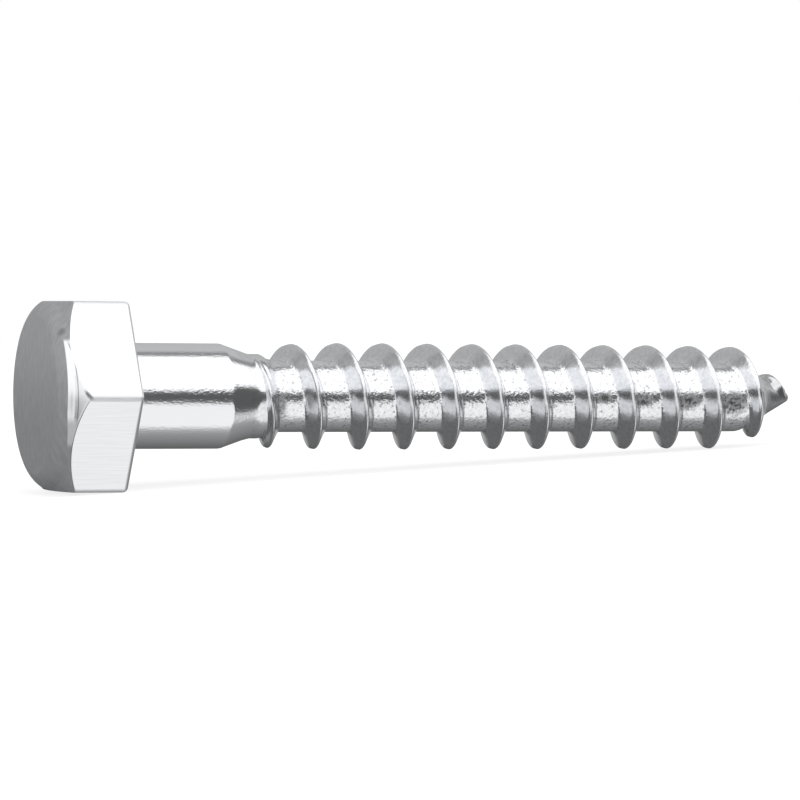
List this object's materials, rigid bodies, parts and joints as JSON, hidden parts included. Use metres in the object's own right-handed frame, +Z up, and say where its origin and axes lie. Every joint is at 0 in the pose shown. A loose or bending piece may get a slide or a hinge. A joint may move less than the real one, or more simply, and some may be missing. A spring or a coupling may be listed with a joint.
{
  "type": "coach screw",
  "caption": "Hexagon-head coach screw in zinc-plated steel: plain shank, tapered neck, coarse right-hand wood thread and a gimlet point, lying on its side.",
  "frame": {"origin": "on the surface that the screw lies on, under the middle of its bounding box", "axes": "+X along the floor under the screw, from its head towards its tip; +Z up, away from the floor; +Y across the screw. The screw lies with one hexagon flat down, and its own axis drops 3.4 degrees from +X towards the tip"},
  "size_m": [0.0758, 0.0194, 0.0173],
  "materials": {
    "zinc_steel": "bright zinc plating over cold-forged and rolled steel: satin grey on the head's face, bright on the flats, shank and thread"
  },
  "bodies": {
    "root": {"coach_screw": "zinc_steel"}
  },
  "joints": []
}
